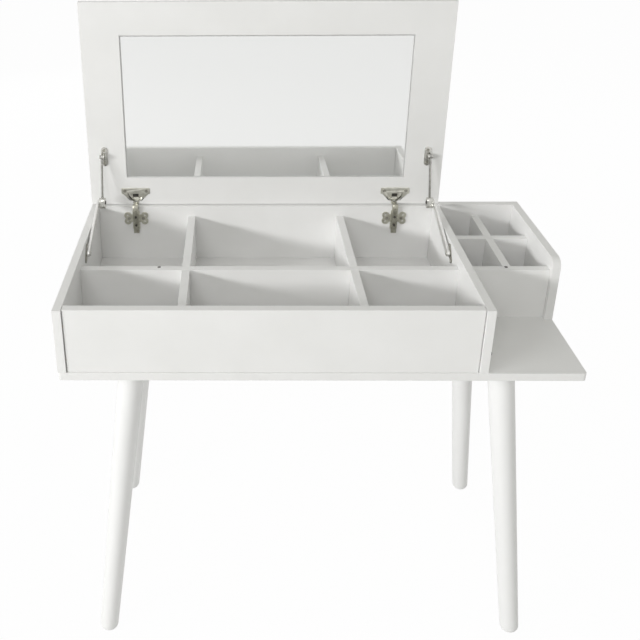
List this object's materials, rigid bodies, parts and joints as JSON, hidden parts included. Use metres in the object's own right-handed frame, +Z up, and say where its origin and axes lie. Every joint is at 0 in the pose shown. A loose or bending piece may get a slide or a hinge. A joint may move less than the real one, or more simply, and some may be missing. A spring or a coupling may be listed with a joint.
{
  "type": "flip top vanity table",
  "caption": "Vanity table with a divided box under a flip-up mirror lid, an open side shelf with a small organiser, and splayed round legs.",
  "frame": {"origin": "centre of the overall box at floor level, lid open", "axes": "+Z up; the open front faces -Y; the open shelf is at +X, on the right of someone sitting in front"},
  "size_m": [0.96, 0.4646, 1.257],
  "materials": {
    "white_board": "smooth satin white paint over fibreboard",
    "white_leg": "smooth satin white paint on turned wood",
    "mirror_glass": "flat silvered glass",
    "nickel_hinge": "nickel plate, softly polished",
    "steel_stay": "bright drawn steel, lightly brushed",
    "dark_metal": "blackened steel",
    "dark_plastic": "matt black plastic",
    "beech_dowel": "raw beech",
    "zinc_fastener": "dull zinc plate"
  },
  "bodies": {
    "cabinet": {"bottom_board": "white_board", "left_side_panel": "white_board", "right_side_panel": "white_board", "front_panel": "white_board", "back_panel": "white_board", "left_divider": "white_board", "right_divider": "white_board", "cross_divider": "white_board", "organiser_side_panel": "white_board", "organiser_back_panel": "white_board", "organiser_front_panel": "white_board", "organiser_long_divider": "white_board", "organiser_cross_divider": "white_board", "front_left_leg": "white_leg", "front_right_leg": "white_leg", "rear_left_leg": "white_leg", "rear_right_leg": "white_leg", "leg_bolts": "zinc_fastener", "leg_inserts": "zinc_fastener", "leg_locating_dowels": "beech_dowel", "box_dowels": "beech_dowel", "organiser_dowels": "beech_dowel", "base_screws": "zinc_fastener", "divider_pins": "dark_metal", "side_screw_cap": "dark_plastic", "hinge_plates": "nickel_hinge", "hinge_plate_screws": "nickel_hinge", "hinge_arms": "nickel_hinge", "hinge_arm_screws": "dark_metal", "left_stay_bracket": "dark_metal", "right_stay_bracket": "dark_metal", "stay_bracket_screws": "steel_stay", "stay_base_rivets": "steel_stay"},
    "lid": {"lid_panel": "white_board", "mirror_pane": "mirror_glass", "hinge_cups": "nickel_hinge", "hinge_cup_screws": "nickel_hinge", "hinge_pins": "nickel_hinge", "left_lid_bracket": "steel_stay", "right_lid_bracket": "steel_stay", "lid_bracket_screws": "steel_stay"},
    "left_arm": {"left_stay_arm": "steel_stay"},
    "right_arm": {"right_stay_arm": "steel_stay"},
    "left_rod": {"left_stay_rod": "steel_stay", "left_joint_block": "steel_stay", "elbow_screw_left": "dark_metal"},
    "right_rod": {"right_stay_rod": "steel_stay", "right_joint_block": "steel_stay", "elbow_screw_right": "dark_metal"}
  },
  "joints": [
    {"name": "lid_hinge", "type": "hinge", "parent": "cabinet", "child": "lid", "pos_m": [-0.0895, 0.21925, 0.80353], "axis": [1, 0, 0], "range_deg": [0, 90]},
    {"name": "left_arm_pivot", "type": "hinge", "parent": "cabinet", "child": "left_arm", "pos_m": [-0.459, 0.02775, 0.776], "axis": [1, 0, 0], "range_deg": [-29, 0]},
    {"name": "right_arm_pivot", "type": "hinge", "parent": "cabinet", "child": "right_arm", "pos_m": [0.281, 0.02775, 0.776], "axis": [1, 0, 0], "range_deg": [-29, 0]},
    {"name": "left_rod_pivot", "type": "hinge", "parent": "lid", "child": "left_rod", "pos_m": [-0.45145, 0.20525, 0.92033], "axis": [1, 0, 0], "range_deg": [-11, 0]},
    {"name": "right_rod_pivot", "type": "hinge", "parent": "lid", "child": "right_rod", "pos_m": [0.27345, 0.20525, 0.92033], "axis": [1, 0, 0], "range_deg": [-11, 0]}
  ],
  "couplings": [
    {"joint": "left_arm_pivot", "follows": "lid_hinge", "ratio": -0.32},
    {"joint": "right_arm_pivot", "follows": "lid_hinge", "ratio": -0.32},
    {"joint": "left_rod_pivot", "follows": "lid_hinge", "ratio": -0.12},
    {"joint": "right_rod_pivot", "follows": "lid_hinge", "ratio": -0.12}
  ]
}
